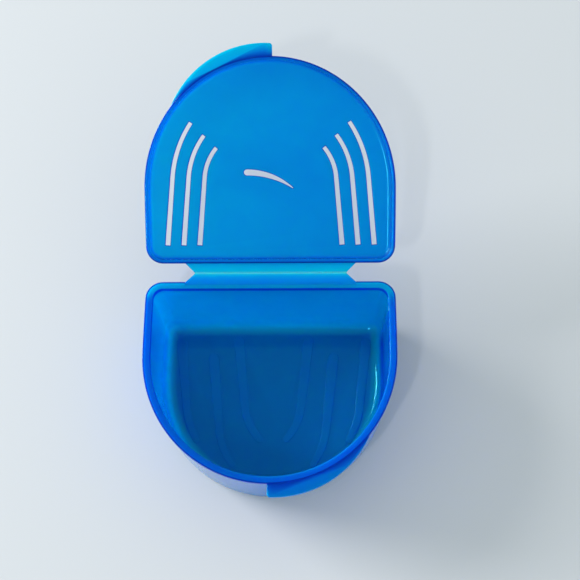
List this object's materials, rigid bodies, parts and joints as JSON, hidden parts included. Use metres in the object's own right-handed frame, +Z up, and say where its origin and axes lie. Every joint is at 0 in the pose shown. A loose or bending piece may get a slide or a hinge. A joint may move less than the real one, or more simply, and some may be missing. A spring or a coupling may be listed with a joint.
{
  "type": "mouthguard case",
  "caption": "Translucent blue hinged case for a mouthguard: D-shaped deep tray with floor ribs, and a shallow vented lid on a living hinge, shown open.",
  "frame": {"origin": "centre of the flat underside of the base's foot", "axes": "+Z up, -Y towards the base's thumb tab, +Y towards the hinge and the open lid, +X along the hinge line"},
  "size_m": [0.08, 0.1379, 0.0648],
  "materials": {
    "blue_shell": "translucent blue moulded polypropylene, glossy",
    "blue_hinge": "the same translucent blue polypropylene, thin and paler at the hinge"
  },
  "bodies": {
    "base": {"base_tray": "blue_shell", "base_rim": "blue_shell", "base_thumb_tab": "blue_shell", "base_hinge_leaf": "blue_hinge", "hinge_web": "blue_hinge", "floor_rib_1": "blue_shell", "floor_rib_2": "blue_shell", "floor_rib_3": "blue_shell", "floor_rib_4": "blue_shell", "floor_rib_5": "blue_shell", "floor_rib_6": "blue_shell"},
    "lid": {"lid_skirt": "blue_shell", "lid_panel": "blue_shell", "lid_thumb_tab": "blue_shell", "lid_hinge_leaf": "blue_hinge"}
  },
  "joints": [
    {"name": "lid_hinge", "type": "hinge", "parent": "base", "child": "lid", "pos_m": [0, 0.03575, 0.032], "axis": [1, 0, 0], "range_deg": [-27, 153]}
  ]
}
